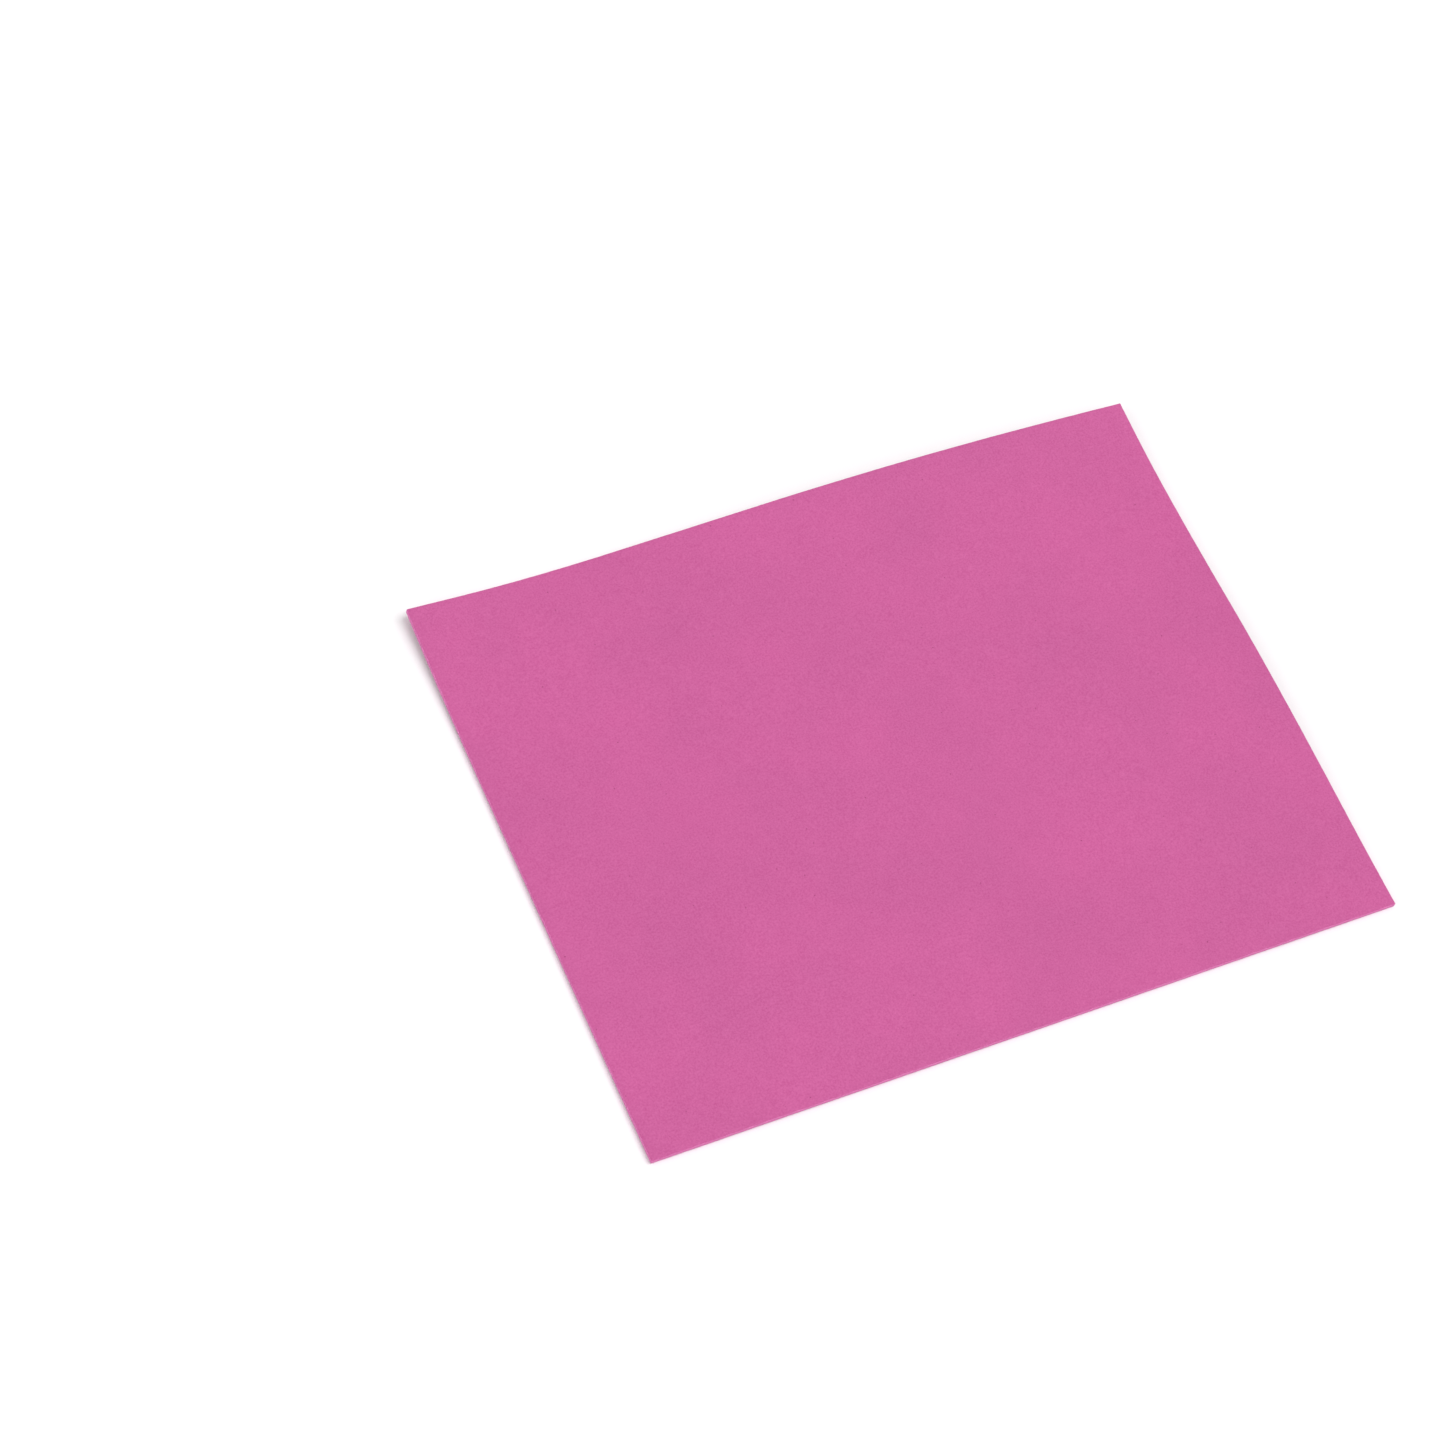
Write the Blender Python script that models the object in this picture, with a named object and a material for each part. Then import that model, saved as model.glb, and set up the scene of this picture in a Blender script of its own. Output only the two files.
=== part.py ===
"""One sheet of craft foam, die-cut to a rectangle, as it lies unheld on a level table.

The middle of the sheet lies flat. Its outer parts keep a little of the curl and the waves that thin foam takes on in
a roll and in a pack: one corner turns up, and two of the edges rise from the table, each in one low wave.

The origin is on the table, under the middle of the sheet. +X runs along the long sides, +Y along the short sides,
and +Z is up. Sizes are in metres.
"""
import math

import bmesh
import bpy
from mathutils import Matrix

# The stock: letter size, 11 by 8.5 inches, in the usual 2 mm gauge.
SHEET_LENGTH = 0.2794
SHEET_WIDTH = 0.2159
SHEET_THICKNESS = 0.0020

# The cutting rule leaves a slightly soft arris all round, which leaves at least a fifth of the cut side upright.
ARRIS_RADIUS = 0.0003
ARRIS_LARGEST_SHARE = 0.4
ARRIS_SEGMENTS = 2
ARRIS_SHARPEST_SLOPE = 45.0

# The left back corner, at -X and +Y, curls up about a line across its diagonal.
CURL_LIFT = 0.0035
CURL_REACH = 0.0500

# The back edge, at +Y, rises in a long wave, highest towards its right end. It lifts the right back corner too.
BACK_WAVE_LIFT = 0.0070
BACK_WAVE_WIDTH = 0.3400
BACK_WAVE_REACH = 0.0850
BACK_WAVE_FROM_RIGHT = 0.0850

# The right edge, at +X, rises in a lower wave, which leaves the right front corner on the table.
RIGHT_WAVE_LIFT = 0.0030
RIGHT_WAVE_WIDTH = 0.2000
RIGHT_WAVE_REACH = 0.0850
RIGHT_WAVE_FROM_FRONT = 0.1000

# The sheet's faces are a grid of squares of about this size, fine enough for the waves.
GRID_STEP = 0.0100

FOAM_COLOUR = (0.636, 0.136, 0.355, 1.0)
FOAM_ROUGHNESS = 0.85

RIGHT = SHEET_LENGTH / 2
BACK = SHEET_WIDTH / 2


def clear_scene():
    """Removes every object, so that the script starts from an empty scene."""
    for obj in list(bpy.data.objects):
        bpy.data.objects.remove(obj, do_unlink=True)


def dying_out(distance, reach):
    """1 at distance 0, 0 from reach onwards, and level where it meets the flat of the sheet."""
    return max(0.0, 1.0 - distance / reach) ** 2


def crest(offset, width):
    """1 at the middle of a wave and 0 at both its ends, level at all three."""
    share = min(abs(offset) / width, 0.5)
    return math.cos(math.pi * share) ** 2


def corner_curl(x, y):
    """Height of the curl, from the distance to the corner along the diagonal."""
    from_corner = ((x + RIGHT) + (BACK - y)) / math.sqrt(2)
    return CURL_LIFT * dying_out(from_corner, CURL_REACH)


def back_wave(x, y):
    """Height of the back edge's wave."""
    offset = (RIGHT - x) - BACK_WAVE_FROM_RIGHT
    return BACK_WAVE_LIFT * crest(offset, BACK_WAVE_WIDTH) * dying_out(BACK - y, BACK_WAVE_REACH)


def right_wave(x, y):
    """Height of the right edge's wave."""
    offset = (y + BACK) - RIGHT_WAVE_FROM_FRONT
    return RIGHT_WAVE_LIFT * crest(offset, RIGHT_WAVE_WIDTH) * dying_out(RIGHT - x, RIGHT_WAVE_REACH)


def underside_height(x, y):
    """Height of the sheet's underside above the table."""
    return corner_curl(x, y) + back_wave(x, y) + right_wave(x, y)


def underside_mesh():
    """The underside as a grid, lifted from the table where the sheet curls and waves."""
    bm = bmesh.new()
    bmesh.ops.create_grid(
        bm,
        x_segments=max(1, round(SHEET_LENGTH / GRID_STEP)),
        y_segments=max(1, round(SHEET_WIDTH / GRID_STEP)),
        size=0.5,
        matrix=Matrix.Diagonal((SHEET_LENGTH, SHEET_WIDTH, 1.0, 1.0)),
    )
    for vert in bm.verts:
        vert.co.z = underside_height(vert.co.x, vert.co.y)
    mesh = bpy.data.meshes.new("foam_sheet")
    bm.to_mesh(mesh)
    bm.free()
    return mesh


def foam_material():
    """Matte pink foam."""
    material = bpy.data.materials.new("foam")
    material.use_nodes = True
    shader = material.node_tree.nodes["Principled BSDF"]
    shader.inputs["Base Color"].default_value = FOAM_COLOUR
    shader.inputs["Roughness"].default_value = FOAM_ROUGHNESS
    shader.inputs["Metallic"].default_value = 0.0
    return material


def build_foam_sheet():
    """The sheet: its underside thickened upwards, with a soft arris along every cut edge."""
    sheet = bpy.data.objects.new("foam_sheet", underside_mesh())
    bpy.context.scene.collection.objects.link(sheet)
    sheet.data.materials.append(foam_material())

    thickness = sheet.modifiers.new("thickness", "SOLIDIFY")
    thickness.thickness = SHEET_THICKNESS
    thickness.offset = 1.0
    thickness.use_even_offset = True

    arris = sheet.modifiers.new("arris", "BEVEL")
    arris.limit_method = "ANGLE"
    arris.angle_limit = math.radians(ARRIS_SHARPEST_SLOPE)
    arris.width = min(ARRIS_RADIUS, ARRIS_LARGEST_SHARE * SHEET_THICKNESS)
    arris.segments = ARRIS_SEGMENTS
    return sheet


clear_scene()
build_foam_sheet()
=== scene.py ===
"""The looks of one sheet of pink craft foam, lying on a white table under soft studio light.

The sheet is one piece: a dense surface drawn over the solid of the frame, with the faint unevenness of
split foam on both faces, rubbed arrises and an open-celled cut side. Lengths are in metres.
"""
import math

import bpy
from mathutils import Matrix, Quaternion, Vector


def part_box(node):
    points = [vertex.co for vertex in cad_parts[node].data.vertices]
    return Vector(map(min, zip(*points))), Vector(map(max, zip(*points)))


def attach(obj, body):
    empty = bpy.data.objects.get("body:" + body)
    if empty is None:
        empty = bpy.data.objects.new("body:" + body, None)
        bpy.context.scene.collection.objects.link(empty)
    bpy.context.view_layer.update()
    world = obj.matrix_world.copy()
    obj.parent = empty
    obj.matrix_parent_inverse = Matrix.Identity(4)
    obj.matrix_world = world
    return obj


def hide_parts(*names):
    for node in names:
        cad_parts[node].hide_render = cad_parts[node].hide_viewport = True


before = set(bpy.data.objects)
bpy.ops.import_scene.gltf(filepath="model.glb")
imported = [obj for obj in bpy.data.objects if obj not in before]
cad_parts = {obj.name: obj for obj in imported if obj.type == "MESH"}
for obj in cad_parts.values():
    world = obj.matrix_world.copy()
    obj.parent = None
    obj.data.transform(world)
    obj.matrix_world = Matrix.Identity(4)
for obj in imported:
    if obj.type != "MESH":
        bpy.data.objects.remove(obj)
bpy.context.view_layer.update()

SOLID = "foam_sheet"

# The size that the sheet was cut to, which it has when it is pressed flat.
SHEET_THICKNESS = 0.0020

# How finely the sheet is modelled. Each cell of the first grid is halved again by every smoothing level.
FIRST_CELL = 0.0100
SMOOTHING_LEVELS = 3
CUT_SIDE_ROWS = 4

# The first grid is this much smaller than the solid all round, so that every corner finds its underside.
FIT_MARGIN = 0.0006

# The rubbed arris, along every edge that turns by more than the sharp angle.
ARRIS_RADIUS = 0.0002
ARRIS_SEGMENTS = 3
SHARP_ANGLE = math.radians(40)

# The rise of an edge, as a share of its length, from which it is upright. A face is upright where its
# normal rises by less.
UPRIGHT_SLOPE = 0.7

# The sheet's slight buckles, and the unevenness of its faces and of its cut side: height, size, and the
# share of the height that lies below the solid's own surface. The buckles hardly go below it, because the
# table is there.
BUCKLE = (0.00030, 0.0450, 0.2)
FACE_RELIEF = (0.00005, 0.0060, 0.5)
CUT_RELIEF = (0.00008, 0.0016, 0.5)

# The pink of the skin: the two ends of its grain, and the darkening of its clouds.
PALE_PINK = (0.690, 0.155, 0.391, 1.0)
DEEP_PINK = (0.511, 0.066, 0.249, 1.0)
CLOUD_SHADE = (0.820, 0.880, 0.860, 1.0)
WHITE = (1.0, 1.0, 1.0, 1.0)

# The kinds of noise: how many finer layers lie on its lumps, and how much each of them counts.
PLAIN_NOISE = (2.0, 0.50)
GRAIN_NOISE = (2.0, 0.60)
CLOUD_NOISE = (4.0, 0.65)

# Noise and the shares of a mix run from 0 to 1, about this middle.
MIDDLE = 0.5

# The Mix node's sockets for colours, by number, because those for numbers have the same names.
FIRST_COLOUR, SECOND_COLOUR, MIXED_COLOUR = 6, 7, 2

# The skin's pattern: the size of its clouds, then the size, share and depth of its mottle and grain.
CLOUD_SIZE = 0.0500
MOTTLE_SIZE, MOTTLE_SHARE, MOTTLE_DEPTH = 0.0040, 0.20, 0.00006
GRAIN_SIZE, GRAIN_SHARE, GRAIN_DEPTH = 0.00065, 1.20, 0.00004
SKIN_ROUGHNESS = 0.72
SKIN_ROUGHNESS_RANGE = 0.25

# How far the top's pattern is moved along the sheet and across it, away from the underside's.
TOP_SHIFT_ALONG = 0.37
TOP_SHIFT_ACROSS = 0.21

# The pinholes in the skin: one in each cell of about this size, nearly all of them too small to see. Each
# is darkened with painted shade, the shade inside the hole, darkest out to the rim, which is a share of
# its radius.
PINHOLE_SHADE_PINK = (0.330, 0.045, 0.150, 1.0)
PINHOLE_SHADE_SHARE = 0.7
PINHOLE_SPACING = 0.0080
PINHOLE_SMALLEST = 0.00002
PINHOLE_LARGEST = 0.00032
PINHOLE_RIM = 0.5
PINHOLE_DEPTH = 0.00010

# The cut foam: its cell walls, painted shade for the inside of its cells, and slightly paler and deeper
# patches.
# The side is paler than the skin, partly because cut foam is paler and partly as painted light for its
# upright faces, which get less light than the top.
PALE_AND_LIT_WALL_PINK = (0.775, 0.220, 0.500, 1.0)
CELL_SHADE_PINK = (0.630, 0.150, 0.380, 1.0)
CELL_SIZE = 0.00035
CELL_DEPTH = 0.00010
CELL_OPEN_UP_TO, CELL_WALL_FROM = 0.15, 0.75
PATCH_SIZE, PATCH_SHARE = 0.0020, 0.3
CUT_ROUGHNESS = 0.90

FOAM_IOR = 1.45
FOAM_SPECULAR = 0.30

# The camera, matched to the four corners of the sheet in a square picture of 1445 pixels.
PICTURE_SIDE = 1445
FOCAL_PIXELS = 3771
SENSOR_MM = 36.0
CAMERA_AZIMUTH = math.radians(-37.88)
CAMERA_ELEVATION = math.radians(58.52)
CAMERA_ROLL = math.radians(16.47)
CAMERA_DISTANCE = 1.2897
CAMERA_AIM = Vector((-0.0520, 0.0341, 0.0))

# The table, just under the sheet: matte white, with hardly any variation.
FLOOR_SIZE = 16.0
FLOOR_CLOUD_SIZE = 0.5
FLOOR_GAP = 0.0001
FLOOR_WHITE = (0.94, 0.94, 0.94, 1.0)
FLOOR_GREY = (0.92, 0.92, 0.92, 1.0)
FLOOR_ROUGHNESS = 0.95
FLOOR_SPECULAR = 0.10

# The light: white walls round a dimmer ceiling, a large softbox high up on the right, and a weaker one low
# on the left. The softboxes are far off, so that they light the table evenly.
WALL_LIGHT = 1.05
CEILING_LIGHT = 0.61
WALL_TOP = 0.35
KEY_POWER = 4540.0
KEY_SIZE = 24.0
KEY_FROM = Vector((12.3, -4.5, 24.7))
FILL_POWER = 1280.0
FILL_SIZE = 19.0
FILL_FROM = Vector((-21.6, -4.8, 12.8))


class Socket:
    """A node's output, for use in expressions. Arithmetic on it adds Math nodes."""

    def __init__(self, material, output):
        self.material = material
        self.output = output

    def __add__(self, other):
        return self.material.math("ADD", self, other)

    def __radd__(self, other):
        return self.material.math("ADD", other, self)

    def __sub__(self, other):
        return self.material.math("SUBTRACT", self, other)

    def __rsub__(self, other):
        return self.material.math("SUBTRACT", other, self)

    def __mul__(self, other):
        return self.material.math("MULTIPLY", self, other)

    def __rmul__(self, other):
        return self.material.math("MULTIPLY", other, self)

    def __truediv__(self, other):
        return self.material.math("DIVIDE", self, other)


class Material:
    """A node tree that ends in one Principled shader."""

    def __init__(self, name):
        self.data = bpy.data.materials.new(name)
        self.data.use_nodes = True
        self.nodes = self.data.node_tree.nodes
        self.links = self.data.node_tree.links
        self.shader = self.nodes["Principled BSDF"]

    def feed(self, socket, value):
        """Links a socket to an output, or sets it to a constant."""
        if isinstance(value, Socket):
            self.links.new(value.output, socket)
        else:
            socket.default_value = value

    def node(self, kind, settings=None, inputs=None, output=0):
        """A node of any type, with its settings made first, then its inputs. Returns one output."""
        made = self.nodes.new(kind)
        for name, value in (settings or {}).items():
            setattr(made, name, value)
        for name, value in (inputs or {}).items():
            self.feed(made.inputs[name], value)
        return Socket(self, made.outputs[output])

    def math(self, operation, first, second):
        """One Math node on two values."""
        return self.node("ShaderNodeMath", {"operation": operation}, {0: first, 1: second})

    def mix(self, share, first, second, blend="MIX"):
        """A colour between two others, or the first one blended with the second."""
        return self.node(
            "ShaderNodeMix",
            {"data_type": "RGBA", "clamp_factor": True, "blend_type": blend},
            {"Factor": share, FIRST_COLOUR: first, SECOND_COLOUR: second},
            output=MIXED_COLOUR,
        )

    def step(self, value, low, high):
        """0 up to low, 1 from high, and smooth between them."""
        return self.node(
            "ShaderNodeMapRange",
            {"interpolation_type": "SMOOTHSTEP", "clamp": True},
            {"Value": value, "From Min": low, "From Max": high, "To Min": 0.0, "To Max": 1.0},
        )

    def noise(self, place, size, kind=PLAIN_NOISE):
        """Noise from 0 to 1 whose lumps are about as large as size."""
        detail, roughness = kind
        return self.node(
            "ShaderNodeTexNoise",
            {"noise_dimensions": "3D"},
            {"Vector": place, "Scale": 1.0 / size, "Detail": detail, "Roughness": roughness},
        )

    def bump(self, height, depth, below=None):
        """A normal from a height of 0 to 1, which stands for depth metres."""
        inputs = {"Height": height, "Distance": depth, "Strength": 1.0}
        if below is not None:
            inputs["Normal"] = below
        return self.node("ShaderNodeBump", inputs=inputs)

    def finish(self, **inputs):
        """Feeds the shader, with underscores for the spaces in its sockets' names."""
        for name, value in inputs.items():
            self.feed(self.shader.inputs[name.replace("_", " ")], value)
        return self.data


def deselect_all():
    """Leaves nothing selected, because the solids are selected when they come in."""
    bpy.ops.object.select_all(action="DESELECT")


def select_alone(obj):
    """Selects one object and makes it the active one."""
    deselect_all()
    obj.select_set(True)
    bpy.context.view_layer.objects.active = obj


def edit(obj):
    """Opens one object in edit mode, alone."""
    select_alone(obj)
    bpy.ops.object.mode_set(mode="EDIT")


def leave():
    """Closes edit mode."""
    bpy.ops.object.mode_set(mode="OBJECT")


def modify(obj, kind, **settings):
    """Adds a modifier and applies it."""
    select_alone(obj)
    modifier = obj.modifiers.new(kind.lower(), kind)
    for name, value in settings.items():
        setattr(modifier, name, value)
    bpy.ops.object.modifier_apply(modifier=modifier.name)


def add_first_grid(length, width, drop):
    """A grid below the solid, slightly smaller all round."""
    deselect_all()
    bpy.ops.mesh.primitive_grid_add(
        x_subdivisions=round(length / FIRST_CELL),
        y_subdivisions=round(width / FIRST_CELL),
        size=1.0,
    )
    sheet = bpy.context.object
    sheet.name = "craft_foam"
    edit(sheet)
    bpy.ops.mesh.select_all(action="SELECT")
    bpy.ops.transform.resize(value=(length - 2 * FIT_MARGIN, width - 2 * FIT_MARGIN, 1.0))
    bpy.ops.transform.translate(value=(0.0, 0.0, -drop))
    leave()
    return sheet


def raise_to_solid(sheet, length, width):
    """Lifts the grid to the underside of the solid and then draws it out to the full size of the cut."""
    modify(
        sheet,
        "SHRINKWRAP",
        target=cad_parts[SOLID],
        wrap_method="PROJECT",
        use_project_z=True,
        use_negative_direction=False,
        use_positive_direction=True,
    )
    edit(sheet)
    bpy.ops.mesh.select_all(action="SELECT")
    bpy.ops.transform.resize(
        value=(length / (length - 2 * FIT_MARGIN), width / (width - 2 * FIT_MARGIN), 1.0)
    )
    leave()


def displace(obj, name, relief, **settings):
    """Moves the surface by a cloudy pattern."""
    height, size, below = relief
    clouds = bpy.data.textures.new(name, "CLOUDS")
    clouds.noise_scale = size
    modify(
        obj,
        "DISPLACE",
        texture=clouds,
        texture_coords="LOCAL",
        strength=height,
        mid_level=below,
        **settings,
    )


def select_upright_edges(mesh):
    """Selects the edges that run up the cut side, and nothing else."""
    mesh.vertices.foreach_set("select", [False] * len(mesh.vertices))
    mesh.polygons.foreach_set("select", [False] * len(mesh.polygons))
    for edge in mesh.edges:
        start, end = (mesh.vertices[i].co for i in edge.vertices)
        edge.select = abs(start.z - end.z) > UPRIGHT_SLOPE * (start - end).length


def thicken(sheet):
    """Gives the surface its thickness, upwards, and cuts the side into rows."""
    modify(sheet, "SOLIDIFY", thickness=SHEET_THICKNESS, offset=1.0, use_even_offset=True)
    bpy.context.tool_settings.mesh_select_mode = (False, True, False)
    select_upright_edges(sheet.data)
    edit(sheet)
    bpy.ops.mesh.subdivide(number_cuts=CUT_SIDE_ROWS - 1)
    leave()


def cut_faces(mesh):
    """The faces of the cut side, which stand upright."""
    return [p for p in mesh.polygons if abs(p.normal.z) < UPRIGHT_SLOPE]


def roughen(sheet):
    """The unevenness of split foam on both faces, and the torn cells of the cut side."""
    displace(sheet, "face_relief", FACE_RELIEF)
    group = sheet.vertex_groups.new(name="cut_side")
    group.add(sorted({i for p in cut_faces(sheet.data) for i in p.vertices}), 1.0, "REPLACE")
    displace(sheet, "cut_relief", CUT_RELIEF, vertex_group=group.name)


def paint(sheet):
    """The skin on the two faces and the cut foam on the side."""
    sheet.data.materials.append(skin_material())
    sheet.data.materials.append(cut_material())
    cut_slot = len(sheet.data.materials) - 1
    for polygon in cut_faces(sheet.data):
        polygon.material_index = cut_slot


def face_place(material):
    """The place on the sheet, moved on the top so that the two faces don't show the same pattern."""
    place = material.node("ShaderNodeTexCoord", output="Object")
    normal = material.node("ShaderNodeNewGeometry", output="Normal")
    up = material.node("ShaderNodeSeparateXYZ", inputs={"Vector": normal}, output="Z")
    top = material.math("GREATER_THAN", up, 0.0)
    shift = material.node(
        "ShaderNodeCombineXYZ",
        inputs={"X": top * TOP_SHIFT_ALONG, "Y": top * TOP_SHIFT_ACROSS, "Z": 0.0},
    )
    return material.node("ShaderNodeVectorMath", {"operation": "ADD"}, {0: place, 1: shift})


def pinholes(material, place):
    """Scattered pinholes of several sizes: 1 in the middle of a hole and 0 outside it."""
    settings = {"voronoi_dimensions": "2D"}
    inputs = {"Vector": place, "Scale": 1.0 / PINHOLE_SPACING, "Randomness": 1.0}
    distance = material.node("ShaderNodeTexVoronoi", settings, inputs, output="Distance")
    chance = material.node("ShaderNodeTexVoronoi", settings, inputs, output="Color")
    lot = material.node("ShaderNodeSeparateColor", inputs={"Color": chance}, output="Red")
    # The lots are even, so their sixth power leaves few of the holes large.
    cube = lot * lot * lot
    radius = (PINHOLE_SMALLEST + cube * cube * (PINHOLE_LARGEST - PINHOLE_SMALLEST)) / PINHOLE_SPACING
    return 1.0 - material.step(distance / radius, PINHOLE_RIM, 1.0)


def skin_material():
    """The split face of closed-cell foam: matte, faintly mottled, with a fine dry grain, and pinholes
    darkened with painted shade.
    """
    m = Material("foam_skin")
    place = face_place(m)
    clouds = m.noise(place, CLOUD_SIZE, CLOUD_NOISE)
    mottle = m.noise(place, MOTTLE_SIZE)
    grain = m.noise(place, GRAIN_SIZE, GRAIN_NOISE)
    holes = pinholes(m, place)
    tone = MIDDLE + (mottle - MIDDLE) * MOTTLE_SHARE + (grain - MIDDLE) * GRAIN_SHARE
    pink = m.mix(tone, DEEP_PINK, PALE_PINK)
    pink = m.mix(1.0, pink, m.mix(clouds, CLOUD_SHADE, WHITE), blend="MULTIPLY")
    # Painted shade in the pinholes: a darker pink where the holes are.
    colour = m.mix(holes * PINHOLE_SHADE_SHARE, pink, PINHOLE_SHADE_PINK)
    normal = m.bump(mottle, MOTTLE_DEPTH)
    normal = m.bump(grain, GRAIN_DEPTH, below=normal)
    normal = m.bump(1.0 - holes, PINHOLE_DEPTH, below=normal)
    return m.finish(
        Base_Color=colour,
        Roughness=SKIN_ROUGHNESS + (grain - MIDDLE) * SKIN_ROUGHNESS_RANGE,
        IOR=FOAM_IOR,
        Specular_IOR_Level=FOAM_SPECULAR,
        Normal=normal,
    )


def cut_material():
    """The cut side of the foam: paler, partly as painted light, with the cells sliced open and painted
    shade inside them.
    """
    m = Material("cut_foam")
    place = m.node("ShaderNodeTexCoord", output="Object")
    cells = m.node(
        "ShaderNodeTexVoronoi",
        {"voronoi_dimensions": "3D"},
        {"Vector": place, "Scale": 1.0 / CELL_SIZE, "Randomness": 1.0},
        output="Distance",
    )
    wall = m.step(cells, CELL_OPEN_UP_TO, CELL_WALL_FROM)
    patch = m.noise(place, PATCH_SIZE)
    # Painted shade inside the open cells, on a cut side that is painted paler, partly as painted light.
    colour = m.mix(wall * (1.0 - PATCH_SHARE) + patch * PATCH_SHARE, CELL_SHADE_PINK, PALE_AND_LIT_WALL_PINK)
    return m.finish(
        Base_Color=colour,
        Roughness=CUT_ROUGHNESS,
        IOR=FOAM_IOR,
        Specular_IOR_Level=FOAM_SPECULAR,
        Normal=m.bump(wall, CELL_DEPTH),
    )


def build_sheet():
    """The sheet of foam, in place of the frame's plain solid."""
    low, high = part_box(SOLID)
    length, width = high.x - low.x, high.y - low.y
    sheet = add_first_grid(length, width, drop=2 * high.z)
    raise_to_solid(sheet, length, width)
    modify(
        sheet,
        "SUBSURF",
        levels=SMOOTHING_LEVELS,
        render_levels=SMOOTHING_LEVELS,
        boundary_smooth="PRESERVE_CORNERS",
    )
    displace(sheet, "buckles", BUCKLE, direction="Z")
    thicken(sheet)
    modify(
        sheet,
        "BEVEL",
        width=ARRIS_RADIUS,
        segments=ARRIS_SEGMENTS,
        limit_method="ANGLE",
        angle_limit=SHARP_ANGLE,
    )
    roughen(sheet)
    paint(sheet)
    select_alone(sheet)
    bpy.ops.object.shade_smooth_by_angle(angle=SHARP_ANGLE)
    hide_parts(SOLID)
    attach(sheet, "root")


def floor_material():
    """A white matte table."""
    m = Material("white_table")
    place = m.node("ShaderNodeTexCoord", output="Object")
    clouds = m.noise(place, FLOOR_CLOUD_SIZE)
    return m.finish(
        Base_Color=m.mix(clouds, FLOOR_WHITE, FLOOR_GREY),
        Roughness=FLOOR_ROUGHNESS,
        Specular_IOR_Level=FLOOR_SPECULAR,
    )


def add_floor():
    """The table, which is the stage and not part of the object."""
    deselect_all()
    bpy.ops.mesh.primitive_plane_add(size=FLOOR_SIZE, location=(0.0, 0.0, -FLOOR_GAP))
    floor = bpy.context.object
    floor.name = "table"
    floor.data.materials.append(floor_material())


def add_world():
    """White light from all round, strongest from the walls and even above them."""
    world = bpy.data.worlds.new("studio")
    bpy.context.scene.world = world
    world.use_nodes = True
    nodes, links = world.node_tree.nodes, world.node_tree.links
    place = nodes.new("ShaderNodeTexCoord")
    split = nodes.new("ShaderNodeSeparateXYZ")
    ramp = nodes.new("ShaderNodeMapRange")
    links.new(place.outputs["Generated"], split.inputs["Vector"])
    links.new(split.outputs["Z"], ramp.inputs["Value"])
    ramp.inputs["From Min"].default_value = 0.0
    ramp.inputs["From Max"].default_value = WALL_TOP
    ramp.inputs["To Min"].default_value = WALL_LIGHT
    ramp.inputs["To Max"].default_value = CEILING_LIGHT
    links.new(ramp.outputs["Result"], nodes["Background"].inputs["Strength"])
    nodes["Background"].inputs["Color"].default_value = WHITE


def add_softbox(name, place, size, power):
    """A round softbox that faces the sheet."""
    data = bpy.data.lights.new(name, "AREA")
    data.shape = "DISK"
    data.size = size
    data.energy = power
    light = bpy.data.objects.new(name, data)
    light.location = place
    light.rotation_mode = "QUATERNION"
    light.rotation_quaternion = (-place).to_track_quat("-Z", "Y")
    bpy.context.scene.collection.objects.link(light)


def add_camera():
    """The photograph's camera: a long lens, turned a little about its own axis."""
    data = bpy.data.cameras.new("camera")
    data.sensor_width = SENSOR_MM
    data.lens = SENSOR_MM * FOCAL_PIXELS / PICTURE_SIDE
    camera = bpy.data.objects.new("camera", data)
    back = Vector(
        (
            math.sin(CAMERA_AZIMUTH) * math.cos(CAMERA_ELEVATION),
            -math.cos(CAMERA_AZIMUTH) * math.cos(CAMERA_ELEVATION),
            math.sin(CAMERA_ELEVATION),
        )
    )
    camera.location = CAMERA_AIM + back * CAMERA_DISTANCE
    level = (-back).to_track_quat("-Z", "Y")
    camera.rotation_mode = "QUATERNION"
    camera.rotation_quaternion = level @ Quaternion((0.0, 0.0, 1.0), CAMERA_ROLL)
    bpy.context.scene.collection.objects.link(camera)
    bpy.context.scene.camera = camera


build_sheet()
add_floor()
add_world()
add_softbox("key_softbox", KEY_FROM, KEY_SIZE, KEY_POWER)
add_softbox("fill_softbox", FILL_FROM, FILL_SIZE, FILL_POWER)
add_camera()
bpy.context.scene.view_settings.view_transform = "Standard"
